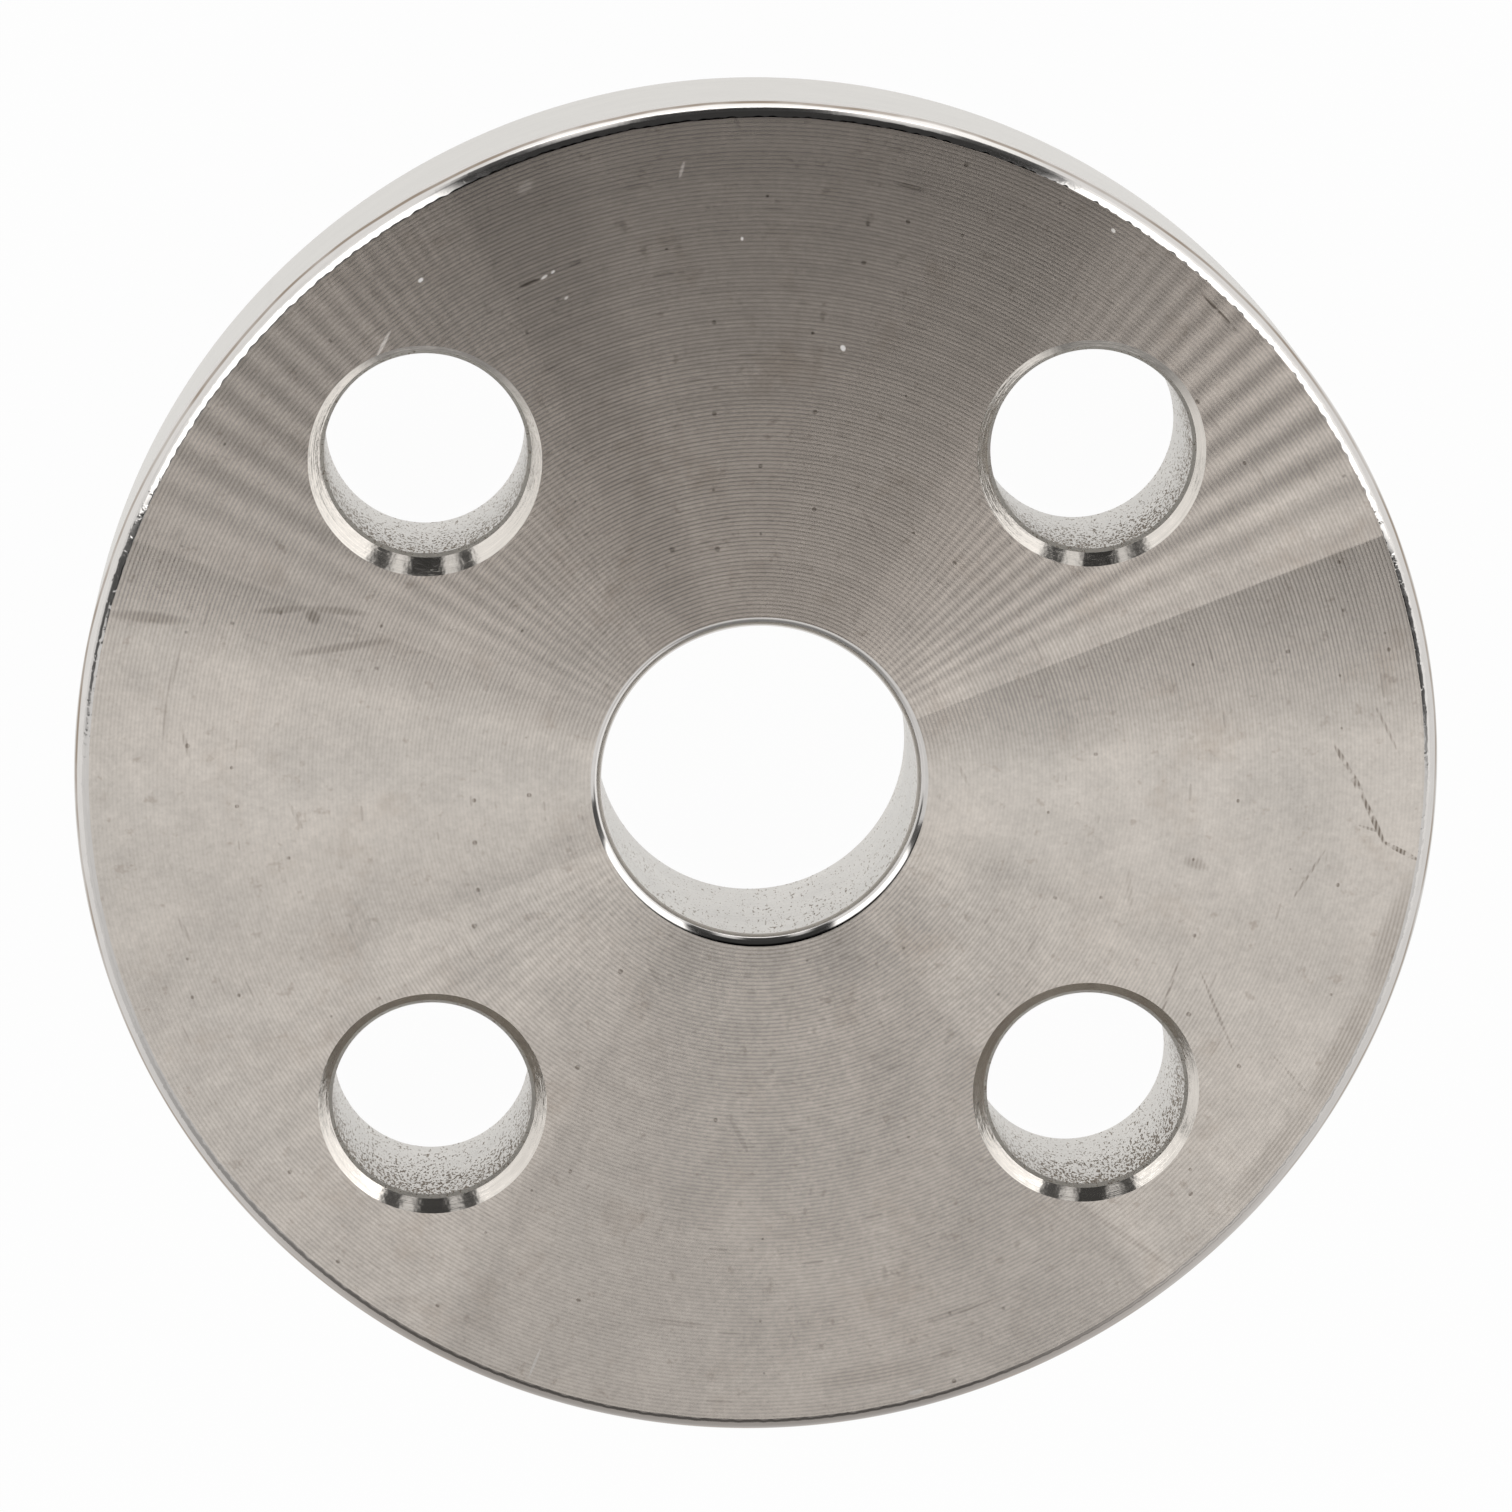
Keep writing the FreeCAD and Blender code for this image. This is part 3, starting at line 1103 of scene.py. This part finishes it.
def front_panels():
    """Four panels in front of the plate, each of its own level."""
    glow_panel("panel_front_right", [
        y_on(RIGHT_TOP, FRONT_MIDDLE), x_on(RIGHT_EDGE, FRONT_START), x_on(RIGHT_EDGE, FRONT_DEPTH),
        (FRONT_REACH, FRONT_DEPTH), y_on(RIGHT_TOP, FRONT_REACH),
    ], FRONT_RIGHT_LEVEL)
    glow_panel("panel_front_left", [
        y_on(LEFT_TOP, FRONT_MIDDLE), y_on(LEFT_TOP, -FRONT_REACH), (-FRONT_REACH, FRONT_DEPTH),
        x_on(LEFT_EDGE, FRONT_DEPTH), x_on(LEFT_EDGE, FRONT_START),
    ], FRONT_LEFT_LEVEL)
    glow_panel("panel_front_near", [
        x_on(LEFT_EDGE, NEAR_START), x_on(LEFT_EDGE, NEAR_END), x_on(RIGHT_EDGE, NEAR_END),
        x_on(RIGHT_EDGE, NEAR_START),
    ], FRONT_NEAR_LEVEL)
    glow_panel("panel_front_far", [
        x_on(LEFT_EDGE, NEAR_END), x_on(LEFT_EDGE, FRONT_DEPTH), x_on(RIGHT_EDGE, FRONT_DEPTH),
        x_on(RIGHT_EDGE, NEAR_END),
    ], FRONT_FAR_LEVEL)


# The floor lies just under the plate. To the camera and in reflections it is almost wholly a
# plain white glow, and the rest is its own pale colour, which keeps the shadow.
FLOOR_REACH = 6.0
FLOOR_HEIGHT = -0.05 * MM
FLOOR_COLOUR = (0.9, 0.9, 0.9, 1.0)
FLOOR_GLOW = 0.97


def ray_kind(graph):
    """One for rays that reach the camera straight, by a mirror or through glass, else nought."""
    path = graph.node("ShaderNodeLightPath")
    seen = graph.math("MAXIMUM", path.outputs["Is Camera Ray"], path.outputs["Is Glossy Ray"])
    return graph.math("MAXIMUM", seen, path.outputs["Is Transmission Ray"])


def floor():
    reach = FLOOR_REACH
    corners = [(-reach, -reach), (reach, -reach), (reach, reach), (-reach, reach)]
    thing = add_mesh("floor", [(x, y, FLOOR_HEIGHT) for x, y in corners], [(0, 1, 2, 3)])
    material = bpy.data.materials.new("pale_floor")
    graph = Graph(material)
    shader = graph.node("ShaderNodeBsdfDiffuse")
    shader.inputs["Color"].default_value = FLOOR_COLOUR
    glow = graph.node("ShaderNodeEmission")
    glow.inputs["Strength"].default_value = 1.0
    mix = graph.node("ShaderNodeMixShader")
    graph.feed(mix.inputs[0], graph.product(ray_kind(graph), FLOOR_GLOW))
    graph.feed(mix.inputs[1], shader.outputs[0])
    graph.feed(mix.inputs[2], glow.outputs[0])
    graph.surface(mix)
    thing.data.materials.append(material)


# The room round the plate in bands, from the horizon up. A band's level goes by the direction
# in degrees. Each one after the first sets in between two heights, where straight up is one.
HORIZON = [
    (0, 0.5), (66, 0.5), (72, 0.8), (108, 0.8), (114, 0.5), (200, 0.5), (240, 0.15), (290, 0.15),
    (320, 0.5), (359, 0.5),
]
LOW_BAND = [
    (0, 0.6), (16, 0.6), (53, 0.6), (57, 0.04), (66, 0.04), (70, 0.42), (76, 0.42), (81, 0.02), (99, 0.02),
    (103, 0.38), (107, 0.38), (112, 0.04), (118, 0.04), (122, 0.5), (165, 0.45), (212, 0.40),
    (240, 0.14), (255, 0.12), (288, 0.12), (302, 0.50), (345, 0.55), (359, 0.6),
]
MIDDLE_BAND = [
    (0, 0.09), (5, 0.09), (8, 1.0), (52, 1.0), (55, 0.04), (66, 0.04), (70, 0.36), (76, 0.36),
    (81, 0.03), (99, 0.03), (103, 0.33), (107, 0.33), (112, 0.04), (120, 0.04), (123, 0.5),
    (165, 0.5), (169, 0.06), (184, 0.06), (190, 0.42), (215, 0.34), (240, 0.20), (300, 0.20),
    (330, 0.40), (345, 0.42), (351, 0.09), (359, 0.09),
]
HIGH_BAND = [
    (0, 0.06), (5, 0.06), (8, 1.0), (52, 1.0), (55, 0.024), (120, 0.024), (123, 1.0), (165, 1.0),
    (169, 0.05), (184, 0.05), (190, 0.42), (345, 0.42), (351, 0.05), (359, 0.05),
]
ROOM_BANDS = [((0.06, 0.11), LOW_BAND), ((0.22, 0.25), MIDDLE_BAND), ((0.31, 0.35), HIGH_BAND)]
OVERHEAD = (0.62, 0.72)
ROOM_STRENGTH = 2.0


def studio_world():
    """The room round the plate: pale to the sides, dark behind the camera and overhead."""
    world = bpy.data.worlds.new("studio")
    bpy.context.scene.world = world
    graph = Graph(world)
    split = graph.node("ShaderNodeSeparateXYZ")
    graph.feed(split.inputs[0], graph.node("ShaderNodeTexCoord").outputs["Generated"])
    x, y, z = split.outputs
    turn = graph.turn(x, y)
    room = graph.ramp(turn, HORIZON)
    for heights, stops in ROOM_BANDS:
        room = graph.mix(graph.remap(z, *heights), room, graph.ramp(turn, stops))
    room = graph.mix(graph.remap(z, *OVERHEAD), room, BLACK)
    shade = graph.node("ShaderNodeBackground")
    graph.feed(shade.inputs[0], room)
    shade.inputs[1].default_value = ROOM_STRENGTH
    graph.surface(shade, "ShaderNodeOutputWorld")


def make_camera():
    data = bpy.data.cameras.new("camera")
    data.sensor_width = CAMERA_SENSOR
    data.lens = CAMERA_LENS
    data.clip_start, data.clip_end = CAMERA_CLIP
    camera = bpy.data.objects.new("camera", data)
    bpy.context.scene.collection.objects.link(camera)
    up = CAMERA_RIGHT.cross(CAMERA_FORWARD)
    turn = Matrix((CAMERA_RIGHT, up, -CAMERA_FORWARD)).transposed()
    place = CAMERA_OFFSET + Vector((0, 0, THICKNESS))
    camera.matrix_world = Matrix.Translation(place) @ turn.to_4x4()
    bpy.context.scene.camera = camera


dress_plate()
fan_panel("panel_right", *FAN_RIGHT)
fan_panel("panel_left", *FAN_LEFT)
front_panels()
floor()
studio_world()
make_camera()
bpy.context.scene.view_settings.view_transform = "Standard"
